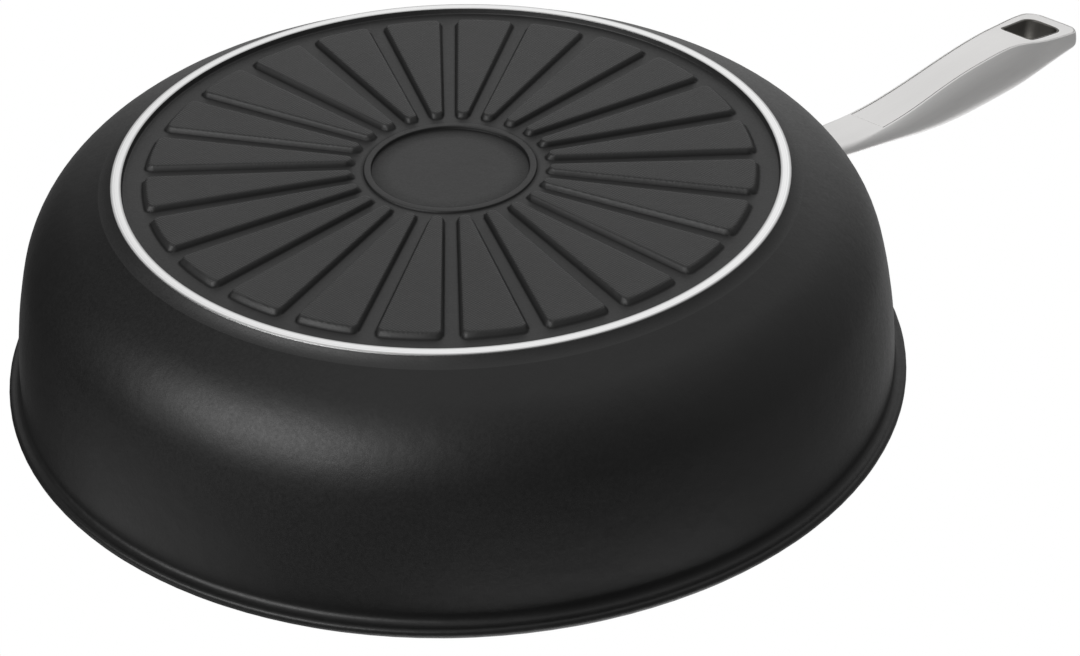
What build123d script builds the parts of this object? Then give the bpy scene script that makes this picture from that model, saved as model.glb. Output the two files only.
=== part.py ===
from build123d import *
from math import acos, atan2, cos, degrees, hypot, radians, sin, sqrt
from typing import NamedTuple
import os

os.makedirs("parts", exist_ok=True)

# Deep frying pan, upright: Z is the pan's own axis, the turned ring under the base lies in Z = 0,
# and the handle runs out along +X. All sizes are in millimetres.

# Pan
pan_height = 71.0             # rim above the base ring
rim_radius = 144.0            # outside of the rim flange
rim_flange_height = 3.0       # a narrow bead, seen in section
rim_flange_step = 3.9         # how far the flange stands out from the wall
rim_lean = 0.785              # degrees off vertical at the top of the wall
wall_curve_radius = 165.0     # slow curve of the upper wall, seen in section
shoulder_radius = 35.3        # quicker curve where the wall turns under
shoulder_lean = 14.5          # degrees off vertical where the two curves meet
wall_thickness = 3.4
floor_thickness = 6.0
floor_corner_radius = 31.5    # inside, between the floor and the wall
lid_seat_radius = 140.2
lid_seat_depth = 1.6
rim_outer_rounding = 1.4
rim_root_rounding = 2.2       # hollow corner under the flange

# Underside relief
ring_radius = 105.2           # outside of the turned ring
ring_width = 3.3
ring_land = 0.3               # height of the ring's own edge before the wall slopes away
relief_depth = 1.9            # ring and pads stand this far out of the casting
ring_draft = 0.3
pad_count = 24
pad_inner_radius = 31.2
pad_outer_radius = 94.2
channel_foot_widths = (3.7, 4.6)   # between two pads, at their inner and outer ends
channel_face_widths = (4.9, 6.4)   # the same at the pads' faces
pad_end_draft = 1.3
pad_inner_corner = 1.3
pad_outer_corner = 1.7
medallion_radius = 24.7
medallion_lip_width = 2.1
medallion_lip_height = 0.6
medallion_depth = 0.5

# Handle
handle_length = 192.9         # from the rim to the tip
neck_drop = 12.4              # underside of the neck below the rim, beside the wall
neck_width = 19.6
neck_depth = 5.6
waist_strip_width = 14.2      # underside strip at its narrowest
grip_rise = 5.2               # underside of the grip above the rim
grip_width = 23.6
grip_depth = 21.2
paddle_width = 25.6           # flat end that holds the hanging eye
paddle_depth = 7.8
paddle_rise = 14.0            # underside of the tip above the rim
paddle_corner_radius = 6.5
sheet_thickness = 1.5         # steel of the handle's two shells
plate_inset = 0.5             # edge of the lower plate inside the edge of the strip
plate_ledge = 1.0             # lip of the upper shell that the plate's edge lies on

# Hanging eye
eye_length = 19.8
eye_root_width = 13.2
eye_end_width = 15.0
eye_end_margin = 7.7          # metal left beyond the eye
eye_root_corner = 1.8
eye_end_corner = 4.8
sleeve_wall = 1.0

# Bracket and rivets
bracket_thickness = 2.6
bracket_root_width = 30.0     # where the neck spreads into the bracket
bracket_root_depth = 13.0
bracket_pad_radius = 9.5      # metal around each rivet
root_lift = 0.4               # middle of the root above the side rivets
tongue_width = 13.0
tongue_thickness = 2.6
tongue_clearance = 0.1
rivet_shank_radius = 3.0
rivet_head_radius = 5.4
rivet_head_height = 2.4
rivet_head_rounding = 1.7
rivet_clearance = 0.05
side_rivet_drop = 18.5        # below the rim
side_rivet_angle = 9.2        # degrees round the wall from the handle's line
lower_rivet_drop = 31.0

tall = 2 * pan_height + 2 * grip_depth   # taller than anything it cuts


class Point(NamedTuple):
    """A point of the pan's section: its radius and its height."""

    r: float
    z: float


# Section of the wall
# Both curves are arcs that share a tangent. The straight foot runs from the ring to the shoulder.
wall_top = Point(rim_radius - rim_flange_step, pan_height - rim_flange_height)
wall_centre = Point(
    wall_top.r - wall_curve_radius * cos(radians(rim_lean)),
    wall_top.z + wall_curve_radius * sin(radians(rim_lean)),
)
shoulder_top = Point(
    wall_centre.r + wall_curve_radius * cos(radians(shoulder_lean)),
    wall_centre.z - wall_curve_radius * sin(radians(shoulder_lean)),
)
shoulder_centre = Point(
    shoulder_top.r - shoulder_radius * cos(radians(shoulder_lean)),
    shoulder_top.z + shoulder_radius * sin(radians(shoulder_lean)),
)
ring_edge = Point(ring_radius, ring_land)
reach = hypot(ring_edge.r - shoulder_centre.r, ring_edge.z - shoulder_centre.z)
foot_angle = degrees(
    atan2(ring_edge.z - shoulder_centre.z, ring_edge.r - shoulder_centre.r)
    + acos(shoulder_radius / reach)
)

# Half of the section, on the side away from the handle
section_plane = Plane(origin=(0, 0, 0), x_dir=(-1, 0, 0), z_dir=(0, 1, 0))


def on_arc(centre: Point, radius: float, angle: float) -> tuple[float, float]:
    """The point of a circle in the section at an angle, in degrees up from the radius."""
    return (centre.r + radius * cos(radians(angle)), centre.z + radius * sin(radians(angle)))


def wall_radius_at(height: float, offset: float = 0.0) -> float:
    """Radius of the upper wall's outer face at a height, moved outwards by an offset."""
    return wall_centre.r + sqrt(
        (wall_curve_radius + offset) ** 2 - (height - wall_centre.z) ** 2
    )


def wall_band(low: float, high: float, inside: float, outside: float) -> Sketch:
    """Section of a band along the upper wall, between two heights and two offsets."""
    heights = (low, (low + high) / 2, high)
    inner = [(wall_radius_at(z, inside), z) for z in heights]
    outer = [(wall_radius_at(z, outside), z) for z in heights]
    with BuildSketch(section_plane) as band:
        with BuildLine():
            ThreePointArc(*inner)
            ThreePointArc(*outer)
            Line(inner[0], outer[0])
            Line(inner[-1], outer[-1])
        make_face()
    return band.sketch


# Outside of the pan, solid
with BuildPart() as pan_form:
    with BuildSketch(section_plane) as pan_section:
        with BuildLine():
            foot_top = on_arc(shoulder_centre, shoulder_radius, foot_angle)
            Polyline((0, pan_height), (0, 0), (ring_radius, 0), ring_edge, foot_top)
            ThreePointArc(
                foot_top,
                on_arc(shoulder_centre, shoulder_radius, (foot_angle - shoulder_lean) / 2),
                shoulder_top,
            )
            ThreePointArc(
                shoulder_top,
                on_arc(wall_centre, wall_curve_radius, -(shoulder_lean + rim_lean) / 2),
                wall_top,
            )
            Polyline(
                wall_top,
                (rim_radius, wall_top.z),
                (rim_radius, pan_height),
                (0, pan_height),
            )
        make_face()
        corners = pan_section.vertices()
        fillet(corners.sort_by_distance(wall_top)[0], rim_root_rounding)
        flange_edges = [(rim_radius, wall_top.z), (rim_radius, pan_height)]
        for edge_point in flange_edges:
            corner = pan_section.vertices().sort_by_distance(edge_point)[0]
            fillet(corner, rim_outer_rounding)
    revolve(axis=Axis.Z)


# One raised pad of the underside, on the +X axis: its foot in the casting, its face in Z = 0
def pad_outline(height: float, inner: float, outer: float, gaps: tuple[float, float]) -> Sketch:
    """A wedge between two channels, with its inner and outer ends round about the pan's axis."""
    half_pitch = radians(180 / pad_count)
    corners = []
    for radius, gap in ((inner, gaps[0] / 2), (outer, gaps[1] / 2)):
        along = sqrt(radius**2 - gap**2)
        across = along * sin(half_pitch) - gap * cos(half_pitch)
        corners.append((sqrt(radius**2 - across**2), across))
    (x_in, y_in), (x_out, y_out) = corners
    with BuildSketch(Plane.XY.offset(height)) as outline:
        with BuildLine():
            Line((x_in, y_in), (x_out, y_out))
            ThreePointArc((x_out, y_out), (outer, 0), (x_out, -y_out))
            Line((x_out, -y_out), (x_in, -y_in))
            ThreePointArc((x_in, -y_in), (inner, 0), (x_in, y_in))
        make_face()
        fillet(outline.vertices().group_by(Axis.X)[0], pad_inner_corner)
        fillet(outline.vertices().group_by(Axis.X)[-1], pad_outer_corner)
    return outline.sketch


foot_ends = (pad_inner_radius - pad_end_draft, pad_outer_radius + pad_end_draft)
with BuildPart() as pad:
    add(pad_outline(relief_depth, *foot_ends, channel_foot_widths))
    add(pad_outline(0, pad_inner_radius, pad_outer_radius, channel_face_widths))
    loft()


# A place on the upper wall, its Z square to the wall and pointing outwards
def wall_plane(drop: float, angle: float) -> Plane:
    """The plane that touches the wall below the rim, turned round the pan by an angle."""
    height = pan_height - drop
    radius = wall_radius_at(height)
    out = (radius - wall_centre.r) / wall_curve_radius
    up = (height - wall_centre.z) / wall_curve_radius
    turn = radians(angle)
    return Plane(
        origin=(radius * cos(turn), radius * sin(turn), height),
        x_dir=(-sin(turn), cos(turn), 0),
        z_dir=(out * cos(turn), out * sin(turn), up),
    )


rivet_planes = {
    "rivet_right": wall_plane(side_rivet_drop, -side_rivet_angle),
    "rivet_left": wall_plane(side_rivet_drop, side_rivet_angle),
    "rivet_lower": wall_plane(lower_rivet_drop, 0),
}
rivet_length = wall_thickness + bracket_thickness + 2 * rivet_head_height

# Pan body: one casting with its cavity, the lid seat and the relief of the underside
with BuildPart() as pan_body:
    add(pan_form.part)
    seat_ledge = pan_height - lid_seat_depth
    with BuildSketch(section_plane) as cavity_section:
        with BuildLine():
            wall_foot = (wall_radius_at(floor_thickness, -wall_thickness), floor_thickness)
            wall_head = (wall_radius_at(seat_ledge, -wall_thickness), seat_ledge)
            mid_height = (floor_thickness + seat_ledge) / 2
            ThreePointArc(
                wall_foot,
                (wall_radius_at(mid_height, -wall_thickness), mid_height),
                wall_head,
            )
            Polyline(
                wall_head,
                (lid_seat_radius, seat_ledge),
                (lid_seat_radius, pan_height),
                (0, pan_height),
                (0, floor_thickness),
                wall_foot,
            )
        make_face()
        fillet(cavity_section.vertices().sort_by_distance(wall_foot)[0], floor_corner_radius)
    revolve(axis=Axis.Z, mode=Mode.SUBTRACT)
    ring_inner = ring_radius - ring_width
    with BuildSketch(section_plane):
        with BuildLine():
            Polyline(
                (0, 0),
                (ring_inner, 0),
                (ring_inner - ring_draft, relief_depth),
                (0, relief_depth),
                close=True,
            )
        make_face()
    revolve(axis=Axis.Z, mode=Mode.SUBTRACT)
    with BuildSketch(Plane.XY.offset(relief_depth)):
        Circle(medallion_radius + medallion_lip_width)
    extrude(amount=-medallion_lip_height)
    with BuildSketch(Plane.XY.offset(relief_depth - medallion_lip_height)):
        Circle(medallion_radius)
    extrude(amount=medallion_lip_height + medallion_depth, mode=Mode.SUBTRACT)
    with PolarLocations(0, pad_count, start_angle=180 / pad_count):
        add(pad.part)
    for place in rivet_planes.values():
        with BuildSketch(place):
            Circle(rivet_shank_radius + rivet_clearance)
        extrude(amount=rivet_length, both=True, mode=Mode.SUBTRACT)


# Handle
class Station(NamedTuple):
    """A cross-section of the handle, square to the handle's line."""

    share: float   # of the handle's length, out from the rim
    rise: float    # underside above the rim
    strip: float   # width of the underside strip
    width: float   # at the widest
    depth: float   # from the underside to the crown
    belly: float   # height of the widest place, as a share of the depth

    def out(self) -> float:
        """Distance from the pan's axis."""
        return rim_radius + self.share * handle_length

    def under(self) -> float:
        """Height of the underside."""
        return pan_height + self.rise


neck_strip = neck_width - 2.4
paddle_strip = paddle_width - 1.4
neck_climb = neck_drop + grip_rise
stations = [
    Station(0.030, -neck_drop, neck_strip, neck_width, neck_depth, 0.50),
    Station(0.110, -neck_drop + 0.40 * neck_climb, neck_strip, neck_width, neck_depth, 0.50),
    Station(0.195, -neck_drop + 0.77 * neck_climb, neck_strip, neck_width, neck_depth, 0.50),
    Station(0.280, grip_rise - 0.3, neck_strip - 0.6, neck_width + 0.4, neck_depth + 0.4, 0.50),
    Station(0.370, grip_rise + 1.7, neck_strip - 1.4, grip_width - 2.8, 0.37 * grip_depth, 0.55),
    Station(0.470, grip_rise + 1.9, waist_strip_width + 0.8, grip_width - 1.6,
            0.59 * grip_depth, 0.60),
    Station(0.600, grip_rise + 0.4, waist_strip_width, grip_width - 0.6, 0.89 * grip_depth, 0.60),
    Station(0.730, grip_rise, waist_strip_width + 1.2, grip_width, grip_depth, 0.60),
    Station(0.805, grip_rise + 1.1, waist_strip_width + 3.0, grip_width - 0.2,
            0.97 * grip_depth, 0.60),
    Station(0.868, 0.57 * grip_rise + 0.43 * paddle_rise, paddle_strip - 2.8, paddle_width - 1.8,
            (grip_depth + paddle_depth) / 2 + 2.1, 0.58),
    Station(0.935, 0.31 * grip_rise + 0.69 * paddle_rise, paddle_strip, paddle_width,
            paddle_depth + 3.9, 0.54),
    Station(1.010, paddle_rise, paddle_strip, paddle_width, paddle_depth, 0.46),
]
tongue_stations = stations[:5]
hollow_stations = stations[4:9]
plate_stations = stations[4:]


def cross_plane(station: Station) -> Plane:
    """The plane of a cross-section: its x is the row's Y and its y is the row's Z."""
    return Plane(origin=(station.out(), 0, 0), x_dir=(0, 1, 0), z_dir=(1, 0, 0))


def handle_section(plane: Plane, under: float, strip: float, width: float, depth: float,
                   belly: float) -> Sketch:
    """A flat underside, two flanks that swell to the widest place, and a crown above it."""
    widest = under + belly
    with BuildSketch(plane) as section:
        with BuildLine():
            Line((-strip / 2, under), (strip / 2, under))
            TangentArc((width / 2, widest), (strip / 2, under), tangent=(0, -1))
            EllipticalCenterArc((0, widest), width / 2, depth - belly, arc_size=180)
            TangentArc((-width / 2, widest), (-strip / 2, under), tangent=(0, -1))
        make_face()
    return section.sketch


def outer_section(station: Station) -> Sketch:
    """The handle's outside at a station."""
    belly = station.belly * station.depth
    sizes = (station.under(), station.strip, station.width, station.depth, belly)
    return handle_section(cross_plane(station), *sizes)


def hollow_section(station: Station) -> Sketch:
    """The handle's inside at a station, a sheet's thickness within the outside."""
    return handle_section(
        cross_plane(station),
        station.under() + sheet_thickness / 2,
        station.strip - 2 * (plate_inset + plate_ledge),
        station.width - 2 * sheet_thickness,
        station.depth - 1.5 * sheet_thickness,
        station.belly * station.depth - sheet_thickness / 2,
    )


root_x = stations[0].out()
tip_x = rim_radius + handle_length
with BuildPart() as handle_form:
    for station in stations:
        add(outer_section(station))
    loft()
    with BuildSketch(Plane.XY) as handle_plan:
        with Locations(((root_x + tip_x) / 2, 0)):
            Rectangle(tip_x - root_x, paddle_width + 1)
        fillet(handle_plan.vertices().group_by(Axis.X)[-1], paddle_corner_radius)
    extrude(amount=tall, mode=Mode.INTERSECT)

eye_end = tip_x - eye_end_margin
eye_root = eye_end - eye_length


def eye_outline(grow: float) -> Sketch:
    """The hanging eye, a rounded wedge wider towards the tip, grown by a wall all round."""
    half_root = eye_root_width / 2 + grow
    half_end = eye_end_width / 2 + grow
    with BuildSketch(Plane.XY) as eye:
        with BuildLine():
            Polyline(
                (eye_root - grow, half_root),
                (eye_root - grow, -half_root),
                (eye_end + grow, -half_end),
                (eye_end + grow, half_end),
                close=True,
            )
        make_face()
        fillet(eye.vertices().group_by(Axis.X)[0], eye_root_corner + grow)
        fillet(eye.vertices().group_by(Axis.X)[-1], eye_end_corner + grow)
    return eye.sketch


def tongue(clearance: float) -> Part:
    """The bracket's tongue, along the middle of the neck, grown by a clearance."""
    with BuildPart() as form:
        for station in tongue_stations:
            with BuildSketch(cross_plane(station)):
                with Locations((0, station.under() + station.depth / 2)):
                    Rectangle(
                        tongue_width + 2 * clearance, tongue_thickness + 2 * clearance
                    )
        loft()
    return form.part


# Lower plate: the strip that closes the handle from below, let in between the flanks
with BuildPart() as handle_lower_plate:
    add(handle_form.part)
    side = [(s.out(), s.strip / 2 - plate_inset) for s in plate_stations[:-1]]
    side.append((tip_x - paddle_corner_radius, paddle_strip / 2 - plate_inset))
    tip = (tip_x - plate_inset, paddle_strip / 2 - paddle_corner_radius)
    bulge = plate_inset + 0.3 * (paddle_corner_radius - plate_inset)
    with BuildSketch(Plane.XY):
        with BuildLine():
            for hand in (1, -1):
                Spline(*[(x, hand * y) for x, y in side])
                ThreePointArc(
                    (side[-1][0], hand * side[-1][1]),
                    (tip_x - bulge, hand * (paddle_strip / 2 - bulge)),
                    (tip[0], hand * tip[1]),
                )
            Line(side[0], (side[0][0], -side[0][1]))
            Line(tip, (tip[0], -tip[1]))
        make_face()
    extrude(amount=tall, mode=Mode.INTERSECT)
    with Locations((0, 0, sheet_thickness)):
        add(handle_form.part, mode=Mode.SUBTRACT)
    add(eye_outline(sleeve_wall))
    extrude(amount=tall, mode=Mode.SUBTRACT)

# Upper shell: the crown and both flanks, hollow, swaged down round the tongue at the neck
with BuildPart() as handle_hollow:
    for station in hollow_stations:
        add(hollow_section(station))
    loft()

with BuildPart() as handle_upper_shell:
    add(handle_form.part)
    add(handle_hollow.part, mode=Mode.SUBTRACT)
    add(handle_lower_plate.part, mode=Mode.SUBTRACT)
    add(tongue(tongue_clearance), mode=Mode.SUBTRACT)
    add(eye_outline(sleeve_wall))
    extrude(amount=tall, mode=Mode.SUBTRACT)

# Sleeve that lines the hanging eye, flush with both faces of the paddle
with BuildPart() as hanging_eye_sleeve:
    add(handle_form.part)
    add(eye_outline(sleeve_wall))
    extrude(amount=tall, mode=Mode.INTERSECT)
    add(eye_outline(0))
    extrude(amount=tall, mode=Mode.SUBTRACT)

# Neck bracket: a curved plate on the wall, a root that narrows to the neck, and the tongue
with BuildPart() as bracket_plate:
    plate_low = pan_height - lower_rivet_drop - bracket_pad_radius
    plate_high = pan_height - side_rivet_drop + bracket_pad_radius
    add(wall_band(plate_low - 1, plate_high + 1, -1, bracket_thickness))
    revolve(axis=Axis.Z)
    with BuildSketch(Plane.YZ):
        with Locations(*[(p.origin.Y, p.origin.Z) for p in rivet_planes.values()]):
            Circle(bracket_pad_radius)
        make_hull()
    extrude(amount=rim_radius + bracket_thickness, mode=Mode.INTERSECT)

with BuildPart() as neck_bracket:
    add(bracket_plate.part)
    wall_side = wall_radius_at(pan_height - side_rivet_drop) - wall_thickness
    root_middle = pan_height - side_rivet_drop + root_lift
    add(
        handle_section(
            Plane(origin=(wall_side, 0, 0), x_dir=(0, 1, 0), z_dir=(1, 0, 0)),
            root_middle - bracket_root_depth / 2,
            bracket_root_width - 4,
            bracket_root_width,
            bracket_root_depth,
            bracket_root_depth / 2,
        )
    )
    add(outer_section(stations[0]))
    loft()
    add(tongue(0))
    add(pan_form.part, mode=Mode.SUBTRACT)
    for place in rivet_planes.values():
        with BuildSketch(place):
            Circle(rivet_shank_radius + rivet_clearance)
        extrude(amount=rivet_length, both=True, mode=Mode.SUBTRACT)


def rivet(place: Plane) -> Part:
    """A rivet square to the wall, with a domed head at each end, seated on what it meets."""
    inner_end = -wall_thickness - rivet_head_height
    outer_end = bracket_thickness + rivet_head_height
    head_spans = ((inner_end, -wall_thickness / 2), (bracket_thickness / 2, outer_end))
    with BuildPart() as form:
        with BuildSketch(place.offset(inner_end)):
            Circle(rivet_shank_radius)
        extrude(amount=outer_end - inner_end)
        for low, high in head_spans:
            with BuildSketch(place.offset(low)):
                Circle(rivet_head_radius)
            extrude(amount=high - low)
        along = Axis(place.origin, place.z_dir)
        ends = form.faces().filter_by(GeomType.PLANE).sort_by(along)
        fillet(ends[0].edges() + ends[-1].edges(), rivet_head_rounding)
        add(pan_body.part, mode=Mode.SUBTRACT)
        add(neck_bracket.part, mode=Mode.SUBTRACT)
    return form.part


pieces = {
    "pan_body": pan_body.part,
    "neck_bracket": neck_bracket.part,
    "handle_upper_shell": handle_upper_shell.part,
    "handle_lower_plate": handle_lower_plate.part,
    "hanging_eye_sleeve": hanging_eye_sleeve.part,
}
for rivet_name, place in rivet_planes.items():
    pieces[rivet_name] = rivet(place)

for piece_name, piece in pieces.items():
    piece.label = piece_name
    export_step(piece, f"parts/{piece_name}.step")
    print(piece_name, len(piece.solids()), round(piece.volume))
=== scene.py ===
import logging
from dataclasses import dataclass
from enum import Enum

import bpy
import numpy as np
from mathutils import Matrix, Vector


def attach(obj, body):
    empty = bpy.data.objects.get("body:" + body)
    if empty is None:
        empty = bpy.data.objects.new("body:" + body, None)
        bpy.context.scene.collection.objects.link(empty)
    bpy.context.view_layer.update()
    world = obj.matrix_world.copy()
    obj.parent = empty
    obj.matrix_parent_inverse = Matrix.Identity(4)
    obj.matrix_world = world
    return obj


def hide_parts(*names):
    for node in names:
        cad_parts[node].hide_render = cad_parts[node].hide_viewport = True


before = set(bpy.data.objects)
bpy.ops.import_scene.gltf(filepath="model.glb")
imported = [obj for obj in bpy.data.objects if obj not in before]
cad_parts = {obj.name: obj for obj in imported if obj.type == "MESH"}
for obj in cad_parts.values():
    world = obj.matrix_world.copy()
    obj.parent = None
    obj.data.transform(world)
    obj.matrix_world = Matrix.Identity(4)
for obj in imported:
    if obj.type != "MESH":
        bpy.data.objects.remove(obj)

# Deep frying pan, upright: Z is the pan's axis, the turned ring lies in Z = 0, the handle is +X.
# The pan's and the handle's sizes are in millimetres and become metres in the meshes. The
# places and sizes of the lamps and the floor are in metres.

LOG = logging.getLogger("deep_pan")
MILLIMETRE = 0.001
ROOT = "root"
RIM_RADIUS = 144.0
RIM_HEIGHT = 71.0
RING_RADIUS = 105.2
RING_WIDTH = 3.3


class Finished(Enum):
    """The pan's real materials, by what they are and how their surface was made."""

    OUTER_COAT = "nonstick_coat_sprayed"
    RELIEF_COAT = "nonstick_coat_on_cast_relief"
    TURNED_RING = "cast_aluminium_turned"
    RELEASE_COAT = "nonstick_coat_inside"
    PLATE_STEEL = "stainless_steel_brushed_plate"
    SHELL_STEEL = "stainless_steel_brushed_shell"
    SLEEVE_STEEL_PAINTED_SHADE = "stainless_steel_drawn_painted_shade"
    BRACKET_STEEL = "stainless_steel_satin"
    RIVET_METAL = "aluminium_cold_headed"


# Colours and node trees

def linear(hex_colour: str) -> tuple[float, float, float, float]:
    """The scene-linear colour of an sRGB hex code.

    Args:
        hex_colour: six hex digits, with or without a leading hash.

    Returns:
        Red, green and blue in linear light, and an alpha of 1. Each channel c becomes
        c / 12.92 up to 0.04045 and ((c + 0.055) / 1.055) ** 2.4 above it.
    """
    code = hex_colour.lstrip("#")
    srgb = np.array([int(code[i:i + 2], 16) for i in (0, 2, 4)]) / 255
    light = np.where(srgb <= 0.04045, srgb / 12.92, ((srgb + 0.055) / 1.055) ** 2.4)
    return (*(float(c) for c in light), 1.0)


def per_metre(size: float) -> float:
    """How many times a pattern of a size in millimetres repeats in a metre."""
    return 1 / (size * MILLIMETRE)


def add(tree: bpy.types.NodeTree, kind: str, settings: dict | None = None,
        out: int | str = 0, **inputs: object) -> bpy.types.NodeSocket | None:
    """Adds a node, with its settings and links.

    Args:
        tree: the node tree of a material or a world.
        kind: the node's type, without the ShaderNode prefix.
        settings: the node's own settings, by name.
        out: which of its outputs to give back, by number or name.
        **inputs: a value or an output socket for each input, by its name with
            underscores for spaces, or by its number as i0, i1 and so on.

    Returns:
        The output, or None from a node that has none.
    """
    node = tree.nodes.new("ShaderNode" + kind)
    for key, value in (settings or {}).items():
        setattr(node, key, value)
    for key, value in inputs.items():
        numbered = key[0] == "i" and key[1:].isdigit()
        socket = node.inputs[int(key[1:]) if numbered else key.replace("_", " ")]
        if isinstance(value, bpy.types.NodeSocket):
            tree.links.new(value, socket)
        else:
            socket.default_value = value
    return node.outputs[out] if node.outputs else None


MIX_COLOUR = {"data_type": "RGBA"}
MULTIPLY = {"operation": "MULTIPLY"}


def new_material(finished: Finished) -> tuple[bpy.types.Material, bpy.types.NodeSocket]:
    """Starts a material.

    Args:
        finished: the finish it is for.

    Returns:
        The material, with an empty tree, and the point on the piece in metres.
    """
    material = bpy.data.materials.new(finished.value)
    material.use_nodes = True
    material.node_tree.nodes.clear()
    return material, add(material.node_tree, "TexCoord", out="Object")


@dataclass(frozen=True)
class Coat:
    """A black coating, sprayed over a casting and baked.

    The colour drifts a little over the surface, a fine grain breaks the gloss, and shallow
    orange peel bends the highlights. Sizes and depths are in millimetres. The stipple and
    the painted shade of the foot lines are the relief's alone. The sheen's two values are for
    the coating and for the foot lines, where the low one is painted shade that dulls them.
    """

    finished: Finished
    dark: str
    light: str
    ior: float
    roughness: tuple[float, float]
    grain: float
    grain_depth: float
    peel: float
    peel_depth: float
    stipple: float = 0.0
    stipple_depth: float = 0.0
    stipple_fade: tuple[float, float] = (0.2, 0.6)
    drift: float = 36.0
    # The second sheen and the foot-line colour are painted shade: dark and matt along the creases.
    sheen: tuple[float, float] = (0.5, 0.03)
    painted_foot_shade: str = "050505"

    def dots(self, tree: bpy.types.NodeTree, place: bpy.types.NodeSocket) -> bpy.types.NodeSocket:
        """Rows of small dots, pressed into the faces that lie in the ring's plane.

        The height is sin(x) * sin(y) over the pitch, turned by 45 degrees, and it fades out
        between the two heights of stipple_fade above the ring's plane.

        Args:
            tree: the material's tree.
            place: the point on the piece.

        Returns:
            The height, from -1 to 1.
        """
        wave = 2 * np.pi * per_metre(self.stipple)
        turned = add(tree, "Mapping", Vector=place, Scale=(wave, wave, 1.0),
                     Rotation=(0.0, 0.0, np.pi / 4))
        x, y, z = (add(tree, "SeparateXYZ", out=axis, Vector=turned) for axis in "XYZ")
        rows = add(tree, "Math", MULTIPLY, i0=add(tree, "Math", {"operation": "SINE"}, i0=x),
                   i1=add(tree, "Math", {"operation": "SINE"}, i0=y))
        full, gone = (height * MILLIMETRE for height in self.stipple_fade)
        faces = add(tree, "MapRange", i0=z, i1=full, i2=gone, i3=1.0, i4=0.0)
        return add(tree, "Math", MULTIPLY, i0=rows, i1=faces)

    def build(self) -> bpy.types.Material:
        """Makes the coating's material, on the relief with painted shade along the foot lines."""
        material, place = new_material(self.finished)
        tree = material.node_tree
        drift = add(tree, "TexNoise", Vector=place, Scale=per_metre(self.drift), Detail=4.0,
                    Roughness=0.6)
        grain = add(tree, "TexNoise", Vector=place, Scale=per_metre(self.grain), Detail=4.0,
                    Roughness=0.65)
        peel = add(tree, "TexNoise", Vector=place, Scale=per_metre(self.peel), Detail=2.0)
        pale = add(tree, "MapRange", i0=drift, i1=0.3, i2=0.7, i3=0.0, i4=0.35)
        share = add(tree, "Math", {"operation": "MULTIPLY_ADD"}, i0=grain, i1=0.65, i2=pale)
        colour = add(tree, "Mix", MIX_COLOUR, out=2, i0=share, i6=linear(self.dark),
                     i7=linear(self.light))
        gloss = add(tree, "MapRange", i0=grain, i1=0.3, i2=0.7, i3=self.roughness[0],
                    i4=self.roughness[1])
        bent = add(tree, "Bump", Height=peel, Distance=self.peel_depth * MILLIMETRE)
        bent = add(tree, "Bump", Height=grain, Distance=self.grain_depth * MILLIMETRE,
                   Normal=bent)
        sheen = self.sheen[0]
        if self.stipple:
            bent = add(tree, "Bump", Height=self.dots(tree, place), Normal=bent,
                       Distance=self.stipple_depth * MILLIMETRE)
            # Painted shade: the attribute darkens the colour and dulls the reflection along the
            # pads' feet and the lip.
            recess = add(tree, "Attribute", {"attribute_name": "recess"}, out="Fac")
            sheen = add(tree, "MapRange", i0=recess, i1=0.0, i2=1.0, i3=sheen,
                        i4=self.sheen[1])
            colour = add(tree, "Mix", MIX_COLOUR, out=2, i0=recess, i6=colour,
                         i7=linear(self.painted_foot_shade))
        shader = add(tree, "BsdfPrincipled", Base_Color=colour, IOR=self.ior, Metallic=0.0,
                     Roughness=gloss, Specular_IOR_Level=sheen, Normal=bent)
        add(tree, "OutputMaterial", Surface=shader)
        return material


@dataclass(frozen=True)
class TurnedMetal:
    """Bare cast aluminium, faced off on a lathe: fine uneven rings about the pan's axis.

    Sizes and depths are in millimetres. The middle and the half width are of the ring, and
    worn is the width at each edge over which it gets darker.
    """

    finished: Finished
    dark: str
    light: str
    edge: str
    roughness: tuple[float, float]
    feed: float
    depth: float
    middle: float
    half: float
    # The width at each edge over which the colour darkens.
    edge_darkening: float = 0.9

    def build(self) -> bpy.types.Material:
        """Makes the turned metal's material, darker towards both edges."""
        material, place = new_material(self.finished)
        tree = material.node_tree
        flat = add(tree, "Mapping", Vector=place, Scale=(1.0, 1.0, 0.0))
        radius = add(tree, "VectorMath", {"operation": "LENGTH"}, out="Value", i0=flat)
        around = add(tree, "CombineXYZ", X=radius, Y=0.0, Z=0.0)
        lines = add(tree, "TexNoise", Vector=around, Scale=per_metre(self.feed), Detail=3.0,
                    Roughness=0.7)
        share = add(tree, "MapRange", i0=lines, i1=0.3, i2=0.6, i3=0.0, i4=1.0)
        colour = add(tree, "Mix", MIX_COLOUR, out=2, i0=share, i6=linear(self.dark),
                     i7=linear(self.light))
        outside = add(tree, "Math", {"operation": "SUBTRACT"}, i0=radius,
                      i1=self.middle * MILLIMETRE)
        away = add(tree, "Math", {"operation": "ABSOLUTE"}, i0=outside)
        near_edge = add(tree, "MapRange", i0=away, i1=(self.half - self.edge_darkening) * MILLIMETRE,
                        i2=self.half * MILLIMETRE, i3=0.0, i4=1.0)
        colour = add(tree, "Mix", MIX_COLOUR, out=2, i0=near_edge, i6=colour,
                     i7=linear(self.edge))
        gloss = add(tree, "MapRange", i0=lines, i1=0.3, i2=0.7, i3=self.roughness[0],
                    i4=self.roughness[1])
        bent = add(tree, "Bump", Height=lines, Distance=self.depth * MILLIMETRE)
        shader = add(tree, "BsdfPrincipled", Base_Color=colour, Metallic=1.0, Roughness=gloss,
                     Normal=bent)
        add(tree, "OutputMaterial", Surface=shader)
        return material


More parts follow.
